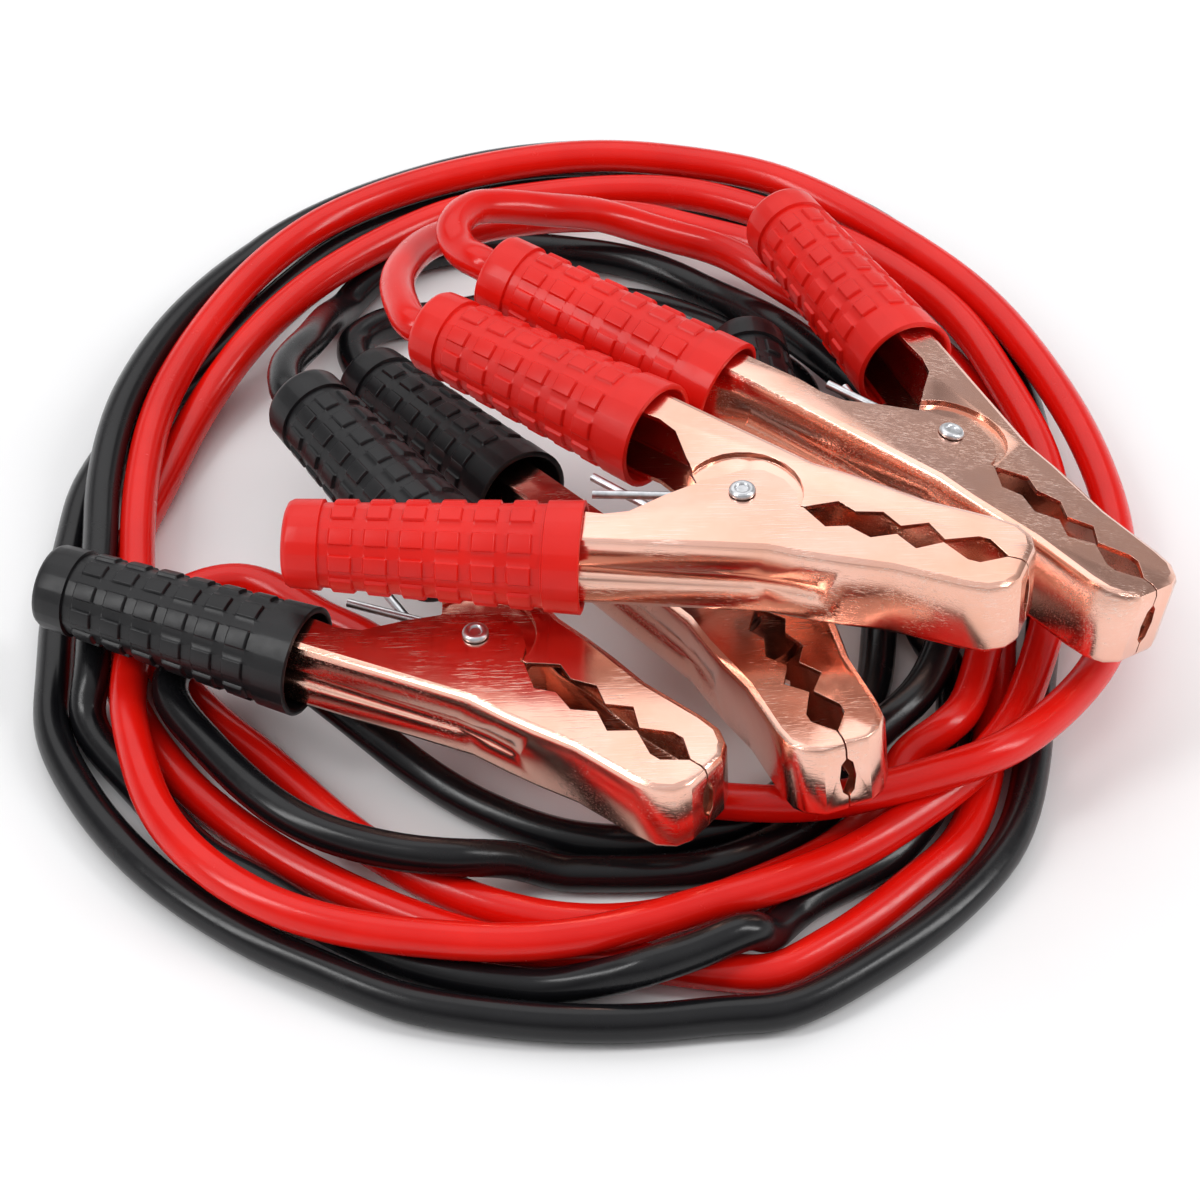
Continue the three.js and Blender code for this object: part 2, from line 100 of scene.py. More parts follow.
class Side(Enum):
    """The half of a clamp: its handle side and its jaw side."""
    UPPER = 1
    LOWER = -1

    @property
    def word(self) -> str:
        """The half's name as the nodes spell it."""
        return self.name.lower()


class Slot(Enum):
    """The record's material slots."""
    COPPER = "copper_plate"
    STEEL = "zinc_steel"
    RED = "red_rubber"
    BLACK = "black_rubber"


class Wire:
    """One output of a node, with arithmetic written as expressions."""

    def __init__(self, bench: "NodeBench", socket: bpy.types.NodeSocket) -> None:
        """Keeps the socket and the bench that it belongs to."""
        self.bench = bench
        self.socket = socket

    def _maths(self, operation: str, first: "Wire | float", second: "Wire | float") -> "Wire":
        """One Math node on two values.

        Args:
            operation: the Math node's operation.
            first: its first value.
            second: its second value.

        Returns:
            The node's result.
        """
        return self.bench.node("ShaderNodeMath", {"operation": operation}, {0: first, 1: second})

    def __add__(self, other: "Wire | float") -> "Wire":
        """Sum."""
        return self._maths("ADD", self, other)

    def __radd__(self, other: float) -> "Wire":
        """Sum with a number first."""
        return self._maths("ADD", other, self)

    def __sub__(self, other: "Wire | float") -> "Wire":
        """Difference."""
        return self._maths("SUBTRACT", self, other)

    def __rsub__(self, other: float) -> "Wire":
        """Difference from a number."""
        return self._maths("SUBTRACT", other, self)

    def __mul__(self, other: "Wire | float") -> "Wire":
        """Product."""
        return self._maths("MULTIPLY", self, other)

    def __rmul__(self, other: float) -> "Wire":
        """Product with a number first."""
        return self._maths("MULTIPLY", other, self)


class NodeBench:
    """One node tree, emptied, to which nodes are added."""

    def __init__(self, owner: bpy.types.Material | bpy.types.World) -> None:
        """Empties the owner's node tree."""
        owner.use_nodes = True
        self.tree = owner.node_tree
        self.tree.nodes.clear()

    def node(self, kind: str, settings: dict, sockets: dict, output: str | int = 0) -> Wire | None:
        """Adds one node.

        Args:
            kind: the node's type.
            settings: its settings, set first; "stops" are a colour ramp's places and colours.
            sockets: values or wires for its inputs, by name or place.
            output: which output is wanted.

        Returns:
            The wanted output, if the node has any.
        """
        made = self.tree.nodes.new(kind)
        for key, value in settings.items():
            if key == "stops":
                self.set_stops(made.color_ramp.elements, value)
            else:
                setattr(made, key, value)
        for key, value in sockets.items():
            self.feed(made.inputs[key], value)
        return Wire(self, made.outputs[output]) if made.outputs else None

    @staticmethod
    def set_stops(elements: bpy.types.ColorRampElements, stops: tuple[tuple[float, Colour], ...]) -> None:
        """Sets a ramp's first and last stops and adds those between.

        Args:
            elements: the ramp's own two stops.
            stops: places and colours, in order.
        """
        for element, (place, colour) in zip(elements, (stops[0], stops[-1])):
            element.position = place
            element.color = colour
        for place, colour in stops[1:-1]:
            elements.new(place).color = colour

    def feed(self, socket: bpy.types.NodeSocket, value: "Wire | float | tuple") -> None:
        """Links or sets one input."""
        if isinstance(value, Wire):
            self.tree.links.new(value.socket, socket)
        else:
            socket.default_value = value


class Shader(NodeBench):
    """The nodes of one material around a Principled surface."""

    def __init__(self, name: str) -> None:
        """Starts a material with an empty surface.

        Args:
            name: the material's name.
        """
        self.material = bpy.data.materials.new(name)
        super().__init__(self.material)
        self.surface = self.tree.nodes.new("ShaderNodeBsdfPrincipled")
        self.node("ShaderNodeOutputMaterial", {}, {"Surface": Wire(self, self.surface.outputs[0])})

    def place(self) -> Wire:
        """The point on the piece, in its own frame."""
        return self.node("ShaderNodeTexCoord", {}, {}, "Object")

    def turned(self, place: Wire, angle: float, scale: Point) -> Wire:
        """A point turned about z and stretched.

        Args:
            place: the point.
            angle: the turn in degrees.
            scale: the stretch along each axis.

        Returns:
            The new point.
        """
        turn = (0.0, 0.0, math.radians(angle))
        return self.node("ShaderNodeMapping", {}, {"Vector": place, "Rotation": turn, "Scale": scale})

    def noise(self, place: Wire, scale: float, detail: float = 2.0, rough: float = 0.5) -> Wire:
        """Cloudy noise from 0 to 1.

        Args:
            place: where it is read.
            scale: its fineness, per metre.
            detail: how many finer layers it has.
            rough: how strong the finer layers are.

        Returns:
            The noise value.
        """
        sockets = {"Vector": place, "Scale": scale, "Detail": detail, "Roughness": rough}
        return self.node("ShaderNodeTexNoise", {}, sockets)

    def ramp(self, value: Wire, low: float, high: float) -> Wire:
        """0 below low, 1 above high and rising between."""
        return self.node("ShaderNodeValToRGB", {"stops": ((low, BLACK), (high, WHITE))}, {0: value})

    def blend(self, mask: Wire, first: Wire | Colour, second: Wire | Colour) -> Wire:
        """A colour between two, by a mask."""
        return self.node("ShaderNodeMix", {"data_type": "RGBA"}, {0: mask, 6: first, 7: second}, 2)

    def bump(self, height: Wire, strength: float, distance: float) -> Wire:
        """A normal bent by a height.

        Args:
            height: the relief, from 0 to 1.
            strength: how much of it counts.
            distance: how high 1 stands, in metres.

        Returns:
            The normal.
        """
        sockets = {"Height": height, "Strength": strength, "Distance": distance}
        return self.node("ShaderNodeBump", {}, sockets)

    def dress(self, sockets: dict) -> bpy.types.Material:
        """Feeds the surface and returns the material."""
        for key, value in sockets.items():
            self.feed(self.surface.inputs[key], value)
        return self.material


@dataclass(frozen=True)
class RubberFinish:
    """Moulded rubber or PVC with a fine skin, handling marks and a little dust."""
    name: str
    colour: Colour
    shade: Colour
    roughness: float
    grain: float
    slot: Slot

    def material(self) -> bpy.types.Material:
        """Builds the material."""
        paint = Shader(self.name)
        place = paint.place()
        cloud = paint.noise(place, 45.0, 3.0)
        dust = paint.noise(place, 520.0, 5.0, 0.65)
        skin = paint.noise(place, 2400.0, 2.0)
        tone = paint.blend(paint.ramp(cloud, 0.35, 0.68), self.shade, self.colour)
        specks = paint.ramp(dust, 0.72, 0.82) * 0.05
        pale = tuple(0.75 * part + 0.10 for part in self.colour[:3]) + (1.0,)
        tone = paint.blend(specks, tone, pale)
        rubbed = paint.ramp(paint.noise(place, 130.0, 4.0, 0.6), 0.45, 0.7)
        rough = self.roughness + 0.10 * (dust - 0.5) + 0.07 * rubbed
        relief = skin * 0.7 + dust * 0.3
        return paint.dress({
            "Base Color": tone,
            "Roughness": rough,
            "Normal": paint.bump(relief, 0.35, self.grain),
            "Specular IOR Level": 0.36,
        })


@dataclass(frozen=True)
class CopperFinish:
    """Thin bright copper plating over pressed steel, with fine scratches and warmer patches."""
    name: str = "bright_copper_plate"
    colour: Colour = (0.93, 0.55, 0.44, 1.0)
    warm: Colour = (0.88, 0.47, 0.34, 1.0)
    bare: Colour = (0.97, 0.76, 0.66, 1.0)
    roughness: float = 0.13
    slot: Slot = Slot.COPPER

    def material(self) -> bpy.types.Material:
        """Builds the material."""
        paint = Shader(self.name)
        place = paint.place()
        patch = paint.ramp(paint.noise(place, 38.0, 4.0, 0.6), 0.40, 0.72)
        marks = None
        for angle, fine in ((12.0, 2300.0), (64.0, 2900.0), (118.0, 2600.0), (151.0, 2100.0)):
            along = paint.turned(place, angle, (0.04, 1.0, 1.0))
            line = paint.ramp(paint.noise(along, fine, 2.0), 0.60, 0.68)
            marks = line if marks is None else marks + line
        thin = marks * paint.ramp(paint.noise(place, 70.0, 2.0), 0.38, 0.60)
        tone = paint.blend(patch, self.colour, self.warm)
        tone = paint.blend(thin * 0.35, tone, self.bare)
        pits = paint.noise(place, 700.0, 3.0)
        waves = paint.noise(place, 55.0, 2.0)
        rough = self.roughness + 0.07 * patch + 0.10 * thin + 0.05 * pits
        relief = waves - thin * 0.06 + pits * 0.04
        return paint.dress({
            "Base Color": tone,
            "Metallic": 1.0,
            "Roughness": rough,
            "Normal": paint.bump(relief, 0.5, 0.0003),
        })


@dataclass(frozen=True)
class ZincFinish:
    """Zinc-plated steel of the rivets and spring wire."""
    name: str = "zinc_plated_steel"
    colour: Colour = (0.72, 0.73, 0.75, 1.0)
    dull: Colour = (0.50, 0.51, 0.53, 1.0)
    roughness: float = 0.24
    slot: Slot = Slot.STEEL

    def material(self) -> bpy.types.Material:
        """Builds the material."""
        paint = Shader(self.name)
        place = paint.place()
        bloom = paint.noise(place, 420.0, 4.0, 0.6)
        grain = paint.noise(place, 2600.0, 2.0)
        return paint.dress({
            "Base Color": paint.blend(paint.ramp(bloom, 0.4, 0.7), self.colour, self.dull),
            "Metallic": 1.0,
            "Roughness": self.roughness + 0.2 * bloom,
            "Normal": paint.bump(grain, 0.3, 0.00004),
        })


GRIP_GRAIN = 0.00006
JACKET_GRAIN = 0.00003
RED_GRIP = RubberFinish(
    "red_moulded_grip", (0.78, 0.010, 0.004, 1.0), (0.68, 0.007, 0.003, 1.0), 0.34, GRIP_GRAIN, Slot.RED,
)
RED_JACKET = RubberFinish(
    "red_cable_jacket", (0.78, 0.009, 0.004, 1.0), (0.68, 0.005, 0.002, 1.0), 0.20, JACKET_GRAIN, Slot.RED,
)
BLACK_GRIP = RubberFinish(
    "black_moulded_grip", (0.009, 0.009, 0.010, 1.0), (0.006, 0.006, 0.007, 1.0), 0.36, GRIP_GRAIN, Slot.BLACK,
)
BLACK_JACKET = RubberFinish(
    "black_cable_jacket", (0.007, 0.007, 0.008, 1.0), (0.004, 0.004, 0.005, 1.0), 0.22, JACKET_GRAIN, Slot.BLACK,
)
COPPER = CopperFinish()
ZINC = ZincFinish()


class Workshop:
    """Makes pieces and gives each finish one material."""

    def __init__(self) -> None:
        """Starts with no materials made."""
        self.made: dict[str, bpy.types.Material] = {}

    def material(self, finish: RubberFinish | CopperFinish | ZincFinish) -> bpy.types.Material:
        """The finish's material, made once."""
        if finish.name not in self.made:
            self.made[finish.name] = finish.material()
        return self.made[finish.name]

    def piece(self, name: str, data: bpy.types.ID, finish: RubberFinish | CopperFinish | ZincFinish,
              node: str) -> bpy.types.Object:
        """Adds a piece that takes a node's place.

        Args:
            name: the piece's name.
            data: its mesh or curve.
            finish: its finish.
            node: the CAD node that it replaces.

        Returns:
            The new object.
        """
        made = bpy.data.objects.new(name, data)
        bpy.context.scene.collection.objects.link(made)
        data.materials.clear()
        data.materials.append(self.material(finish))
        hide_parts(node)
        log.info("made %s for %s", name, node)
        return made


def grid_mesh(name: str, rings: list[list[Vector]]) -> bpy.types.Mesh:
    """A closed skin through rings of points, with its two ends filled.

    Args:
        name: the mesh's name.
        rings: rings of equally many points each.

    Returns:
        The mesh.
    """
    count = len(rings[0])
    points = [point for ring in rings for point in ring]
    faces = []
    for row in range(len(rings) - 1):
        for column in range(count):
            beside = (column + 1) % count
            low = row * count
            high = low + count
            faces.append((low + column, low + beside, high + beside, high + column))
    faces.append(tuple(reversed(range(count))))
    last = (len(rings) - 1) * count
    faces.append(tuple(range(last, last + count)))
    mesh = bpy.data.meshes.new(name)
    mesh.from_pydata(points, [], faces)
    mesh.update()
    work = bmesh.new()
    work.from_mesh(mesh)
    bmesh.ops.recalc_face_normals(work, faces=work.faces)
    work.to_mesh(mesh)
    work.free()
    return mesh


def swept(points: list[Vector], wide: float, deep: float, sides: int) -> list[list[Vector]]:
    """Rings of an oval section carried along a path.

    Args:
        points: the path.
        wide: half the section's size along z.
        deep: half its size across the path.
        sides: points in each ring.

    Returns:
        The rings.
    """
    up = Vector((0.0, 0.0, 1.0))
    rings = []
    for at, point in enumerate(points):
        ahead = points[min(at + 1, len(points) - 1)] - points[max(at - 1, 0)]
        across = ahead.cross(up).normalized()
        over = across.cross(ahead).normalized()
        ring = []
        for step in range(sides):
            angle = 2.0 * math.pi * step / sides
            ring.append(point + across * deep * math.cos(angle) + over * wide * math.sin(angle))
        rings.append(ring)
    return rings


def smooth(mesh: bpy.types.Mesh, angle: float) -> None:
    """Shades a mesh smooth, apart from edges sharper than the angle in degrees."""
    mesh.polygons.foreach_set("use_smooth", [True] * len(mesh.polygons))
    mesh.set_sharp_from_angle(angle=math.radians(angle))


@dataclass
class GripShape:
    """Sizes of one rubber grip, mm."""
    length: float = GRIP_LENGTH
    mouth: float = 12.5
    end: float = 9.7
    collar: float = 8.0
    step: float = 0.75
    pads_along: int = 6
    pads_round: int = 10
    pad: float = 5.4
    ramp: float = 0.28
    wall: float = 1.5
    seam: float = 0.22

    def radius(self, along: float) -> float:
        """The outer radius at a distance from the mouth."""
        return self.mouth - (self.mouth - self.end) * along / self.length

    def stations(self) -> list[tuple[float, float]]:
        """Places along the grip with how much of the pad's height each has.

        Returns:
            Pairs of distance and share, where a share below 0 marks a collar.
        """
        rows = [(0.25, -1.0), (0.7, -1.0), (4.0, -1.0), (self.collar - 0.3, -1.0), (self.collar, -1.0)]
        space = self.length - 2.0 * self.collar
        gap = (space - self.pads_along * self.pad) / (self.pads_along + 1)
        at = self.collar
        rows.append((at + 0.25, 0.0))
        for _ in range(self.pads_along):
            start = at + gap
            rows += [(start - gap / 2.0, 0.0), (start, 0.0), (start + self.ramp, 0.8)]
            rows += [(start + 2.0 * self.ramp, 1.0), (start + self.pad - 2.0 * self.ramp, 1.0)]
            rows += [(start + self.pad - self.ramp, 0.8), (start + self.pad, 0.0)]
            at = start + self.pad
        end = self.length - self.collar
        rows += [(end - 0.25, 0.0), (end, -1.0), (end + 0.3, -1.0), (end + 4.0, -1.0)]
        rows.append((self.length - 1.6, -1.0))
        return rows

    def columns(self) -> list[tuple[float, float, bool]]:
        """Angles round the grip with the pad's share there and whether a mould seam runs there."""
        pitch = 2.0 * math.pi / self.pads_round
        gap = 0.34 * pitch
        edge = 0.04 * pitch
        found = []
        for row in range(self.pads_round):
            start = row * pitch
            found.append((start, 0.0, row % (self.pads_round // 2) == 0))
            found.append((start + gap / 2.0, 0.0, False))
            found.append((start + gap / 2.0 + edge, 0.8, False))
            found.append((start + gap / 2.0 + 2.0 * edge, 1.0, False))
            found.append((start + pitch / 2.0, 1.0, False))
            found.append((start + pitch - gap / 2.0 - 2.0 * edge, 1.0, False))
            found.append((start + pitch - gap / 2.0 - edge, 0.8, False))
            found.append((start + pitch - gap / 2.0, 0.0, False))
        return found

    def rings(self, bore: float) -> list[list[tuple[float, float, float]]]:
        """Rings of distance, radius and angle from inside the mouth, over the outside, to the bore.

        Args:
            bore: the radius of the hole in the closed end, 0 where there is none.

        Returns:
            The rings in order.
        """
        columns = self.columns()
        mouth_inside = self.radius(0.0) - self.wall
        lip = [
            (self.length - 6.0, self.radius(self.length - 6.0) - self.wall),
            (20.0, self.radius(20.0) - self.wall),
            (1.0, self.radius(1.0) - self.wall),
            (0.15, mouth_inside + 0.1),
            (0.0, mouth_inside + 0.4),
            (0.0, self.radius(0.0) - 0.5),
        ]
        made = [[(along, radius, angle) for angle, _, _ in columns] for along, radius in lip]
        for along, share in self.stations():
            ring = []
            for angle, pad, seam in columns:
                sunk = 0.0 if share < 0.0 else self.step * (1.0 - share * pad)
                if seam and share >= 0.0:
                    sunk -= self.seam
                ring.append((along, self.radius(along) - sunk, angle))
            made.append(ring)
        inner = max(bore, 0.6)
        closing = [
            (self.length - 0.5, self.end - 0.5),
            (self.length, self.end - 1.6),
            (self.length, inner + 0.4),
            (self.length - 0.4, inner),
            (self.length - 5.0, inner),
        ]
        made += [[(along, radius, angle) for angle, _, _ in columns] for along, radius in closing]
        return made


@dataclass
class SpringShape:
    """Sizes of the torsion spring, mm."""
    radius: float = 5.2
    half: float = 4.4
    leg: float = 36.0
    lean: float = math.radians(18.3)
    turns: float = 3.5
    steps: int = 120
    wire: float = 1.0
    sides: int = 12
    twist_half: float = 3.2
    leg_steps: tuple[float, ...] = (1.0, 0.66, 0.33, 0.1)

    def path(self) -> list[Vector]:
        """The wire's middle line from one leg's end to the other's, in the clamp's frame."""
        first = math.pi / 2.0 - self.lean
        sweep = 2.0 * math.pi * self.turns + 2.0 * self.lean
        coil = []
        for step in range(self.steps + 1):
            angle = first - sweep * step / self.steps
            height = self.half * (1.0 - 2.0 * step / self.steps)
            coil.append(Vector((self.radius * math.cos(angle), self.radius * math.sin(angle), height)))
        down = Vector((-math.cos(self.lean), -math.sin(self.lean), 0.0))
        up = Vector((-math.cos(self.lean), math.sin(self.lean), 0.0))
        path = [coil[0] + down * self.leg * share for share in self.leg_steps]
        path += coil
        path += [coil[-1] + up * self.leg * share for share in reversed(self.leg_steps)]
        return path


@dataclass
class Clamp:
    """One clamp: two pressed jaws, a hollow rivet, a spring and two rubber grips."""
    name: str
    at: Point
    turn: float
    rise: float
    lean: float
    upper: float
    lower: float
    cable_side: Side
    moving: Side
    rubber: RubberFinish

    def matrix(self) -> Matrix:
        """From the clamp's own frame in mm to the part's frame in metres."""
        turn = Matrix.Rotation(math.radians(self.turn), 4, "Z")
        rise = Matrix.Rotation(math.radians(-self.rise), 4, "Y")
        lean = Matrix.Rotation(math.radians(self.lean), 4, "X")
        place = Matrix.Translation((Vector(self.at) - ORIGIN) * MM)
        return place @ turn @ rise @ lean @ Matrix.Scale(MM, 4)

    def body(self, side: Side) -> str:
        """The body that a half rides on."""
        return f"{self.name}_moving_half" if side is self.moving else FIXED_BODY

    def offset(self, side: Side) -> float:
        """How far along its handle a grip's mouth sits."""
        return self.upper if side is Side.UPPER else self.lower

    @staticmethod
    def on_handle(side: Side, along: float, across: float, height: float = 0.0) -> Vector:
        """A point by its place on a handle strip, in the clamp's frame.

        Args:
            side: which handle.
            along: distance outwards along the strip.
            across: distance towards the outer wall.
            height: distance above the clamp's middle plane.

        Returns:
            The point in mm.
        """
        x = HANDLE_START[0] - along * math.cos(HANDLE_ANGLE) + across * math.sin(HANDLE_ANGLE)
        y = HANDLE_START[1] + along * math.sin(HANDLE_ANGLE) + across * math.cos(HANDLE_ANGLE)
        return Vector((x, side.value * y, height))

    def cable_points(self) -> list[Vector]:
        """The cable inside the grip, where it leaves it, and a little further out, in metres."""
        end = self.offset(self.cable_side) + GRIP_LENGTH
        place = self.matrix()
        stops = (end - CABLE_INSIDE, end, end + CABLE_LEAD)
        return [place @ self.on_handle(self.cable_side, along, CABLE_SHIFT) for along in stops]

    def grip(self, shop: Workshop, side: Side) -> None:
        """Makes the sleeve with its raised pads."""
        shape = GripShape()
        bore = CABLE_BORE if side is self.cable_side else 0.0
        place = self.matrix()
        start = self.offset(side)
        rings = []
        for ring in shape.rings(bore):
            line = []
            for along, radius, angle in ring:
                across = GRIP_AXIS_SHIFT + radius * math.cos(angle)
                height = radius * math.sin(angle)
                line.append(place @ self.on_handle(side, start + along, across, height))
            rings.append(line)
        label = f"{self.name}_{side.word}"
        mesh = grid_mesh(f"{label}_sleeve", rings)
        made = shop.piece(f"{label}_sleeve", mesh, self.rubber, f"{label}_grip")
        smooth(mesh, 60.0)
        crisp = made.modifiers.new("crisp_pads", "WEIGHTED_NORMAL")
        crisp.keep_sharp = True
        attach(made, self.body(side))

    def groove_path(self, side: Side) -> list[Vector]:
        """The middle line of the tool that presses the groove, in mm, just outside the wall."""
        corners = [self.on_handle(side, along, HANDLE_HALF_WIDTH) for along in GROOVE_ON_HANDLE]
        corners += [Vector((x, side.value * y, 0.0)) for x, y in GROOVE_ON_WALL]
        lifted = []
        for at, corner in enumerate(corners):
            ahead = (corners[min(at + 1, len(corners) - 1)] - corners[max(at - 1, 0)]).normalized()
            outwards = Vector((-ahead.y, ahead.x, 0.0)) * side.value
            lifted.append(corner + outwards * (GROOVE_ROUND - GROOVE_DEPTH))
        return lifted

    def jaw(self, shop: Workshop, side: Side) -> None:
        """Dresses a pressed half: its groove is cut, its edges rounded."""
        node = f"{self.name}_{side.word}_jaw"
        mesh = bpy.data.objects[node].data.copy()
        made = shop.piece(f"{self.name}_{side.word}_pressing", mesh, COPPER, node)
        place = self.matrix()
        rings = swept(self.groove_path(side), GROOVE_ROUND, GROOVE_ROUND, GROOVE_SIDES)
        rings = [[place @ point for point in ring] for ring in rings]
        cutter = bpy.data.objects.new("groove_cutter", grid_mesh("groove_cutter", rings))
        bpy.context.scene.collection.objects.link(cutter)
        cut = made.modifiers.new("groove", "BOOLEAN")
        cut.operation = "DIFFERENCE"
        cut.object = cutter
        cut.solver = "EXACT"
        graph = bpy.context.evaluated_depsgraph_get()
        graph.update()
        shaped = bpy.data.meshes.new_from_object(made.evaluated_get(graph))
        made.modifiers.clear()
        made.data = shaped
        bpy.data.objects.remove(cutter)
        work = bmesh.new()
        work.from_mesh(shaped)
        bmesh.ops.remove_doubles(work, verts=work.verts, dist=SAME_POINT)
        flat = math.radians(FLAT_ANGLE)
        bmesh.ops.dissolve_limit(work, angle_limit=flat, verts=work.verts, edges=work.edges)
        work.to_mesh(shaped)
        work.free()
        shaped.materials.clear()
        shaped.materials.append(shop.material(COPPER))
        edge = made.modifiers.new("rolled_edge", "BEVEL")
        edge.width = EDGE_WIDTH
        edge.segments = EDGE_STEPS
        edge.limit_method = "ANGLE"
        edge.angle_limit = math.radians(EDGE_ANGLE)
        edge.harden_normals = True
        smooth(shaped, EDGE_ANGLE)
        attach(made, self.body(side))

    def rivet(self, shop: Workshop) -> None:
        """Makes the hollow rivet with a rolled head on each face."""
        line = [(radius, RIVET_UNDER + height) for radius, height in RIVET_HEAD]
        line += [(radius, -height) for radius, height in reversed(line)]
        place = self.matrix()
        turns = [2.0 * math.pi * step / RIVET_SIDES for step in range(RIVET_SIDES)]
        rings = []
        for radius, height in line:
            ring = [Vector((radius * math.cos(turn), radius * math.sin(turn), height)) for turn in turns]
            rings.append([place @ point for point in ring])
        mesh = grid_mesh(f"{self.name}_hollow_rivet", rings)
        smooth(mesh, 50.0)
        made = shop.piece(f"{self.name}_hollow_rivet", mesh, ZINC, f"{self.name}_rivet")
        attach(made, FIXED_BODY)

    def spring(self, shop: Workshop) -> None:
        """Makes the torsion spring."""
        shape = SpringShape()
        place = self.matrix()
        rings = swept(shape.path(), shape.wire, shape.wire, shape.sides)
        rings = [[place @ point for point in ring] for ring in rings]
        mesh = grid_mesh(f"{self.name}_torsion_spring", rings)
        smooth(mesh, 60.0)
        made = shop.piece(f"{self.name}_torsion_spring", mesh, ZINC, f"{self.name}_spring")
        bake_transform(made)

    def build(self, shop: Workshop) -> None:
        """Makes the clamp's pieces in order."""
        for side in Side:
            self.jaw(shop, side)
            self.grip(shop, side)
        self.rivet(shop)
        self.spring(shop)


@dataclass
class Cable:
    """One cable from clamp to clamp, laid in two turns of the ring."""
    name: str
    node: str
    route: list[Point]
    start: Clamp
    end: Clamp
    jacket: RubberFinish
    length: float
    diameter: float = 0.0084

    def dense(self) -> list[Vector]:
        """Close points on a rounded curve through the route."""
        floor = [(Vector(point) - ORIGIN) * MM for point in self.route]
        knots = self.start.cable_points() + floor + list(reversed(self.end.cable_points()))
        made = []
        for at in range(len(knots) - 1):
            before = knots[at - 1] if at else knots[0] * 2.0 - knots[1]
            after = knots[at + 2] if at + 2 < len(knots) else knots[-1] * 2.0 - knots[-2]
            made += self.between(before, knots[at], knots[at + 1], after, 6)
        made.append(knots[-1])
        line = self.relaxed(made)
        for point in line:
            point.z = max(point.z, self.diameter / 2.0 + 0.0001)
        return line

    @staticmethod
    def between(a: Vector, b: Vector, c: Vector, d: Vector, count: int) -> list[Vector]:
        """Points from b towards c on a centripetal curve.

        Args:
            a: the point before b.
            b: the first point.
            c: the second point.
            d: the point after c.
            count: how many points are made.

        Returns:
            The points, b among them.
        """
        t1 = max((b - a).length, 1e-9) ** 0.5
        t2 = t1 + max((c - b).length, 1e-9) ** 0.5
        t3 = t2 + max((d - c).length, 1e-9) ** 0.5
        made = []
        for step in range(count):
            t = t1 + (t2 - t1) * step / count
            ab = a.lerp(b, t / t1)
            bc = b.lerp(c, (t - t1) / (t2 - t1))
            cd = c.lerp(d, (t - t2) / (t3 - t2))
            abc = ab.lerp(bc, t / t2)
            bcd = bc.lerp(cd, (t - t1) / (t3 - t1))
            made.append(abc.lerp(bcd, (t - t1) / (t2 - t1)))
        return made

    @staticmethod
    def relaxed(points: list[Vector], rounds: int = 40, held: int = 14) -> list[Vector]:
        """Takes small wobbles out of a line and keeps its wide bends.

        Args:
            points: the line.
            rounds: how often it is done.
            held: how many points at each end stay.

        Returns:
            The smoother line.
        """
        line = [point.copy() for point in points]
        for _ in range(rounds):
            for weight in (0.5, -0.53):
                inside = range(1, len(line) - 1)
                moved = [line[at - 1] * 0.5 + line[at + 1] * 0.5 - line[at] for at in inside]
                for at in range(held, len(line) - held):
                    line[at] = line[at] + moved[at - 1] * weight
        return line

    def build(self, shop: Workshop) -> None:
        curve = bpy.data.curves.new(self.name, "CURVE")
        curve.dimensions = "3D"
        curve.bevel_depth = self.diameter / 2.0
        curve.bevel_resolution = 6
        curve.use_fill_caps = True
        points = self.dense()
        spline = curve.splines.new("POLY")
        spline.points.add(len(points) - 1)
        for place, point in zip(spline.points, points):
            place.co = (point.x, point.y, point.z, 1.0)
        spline.use_smooth = True
        made = shop.piece(self.name, curve, self.jacket, self.node)
        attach(made, FIXED_BODY)
        leaves = tuple(self.start.cable_points()[1])


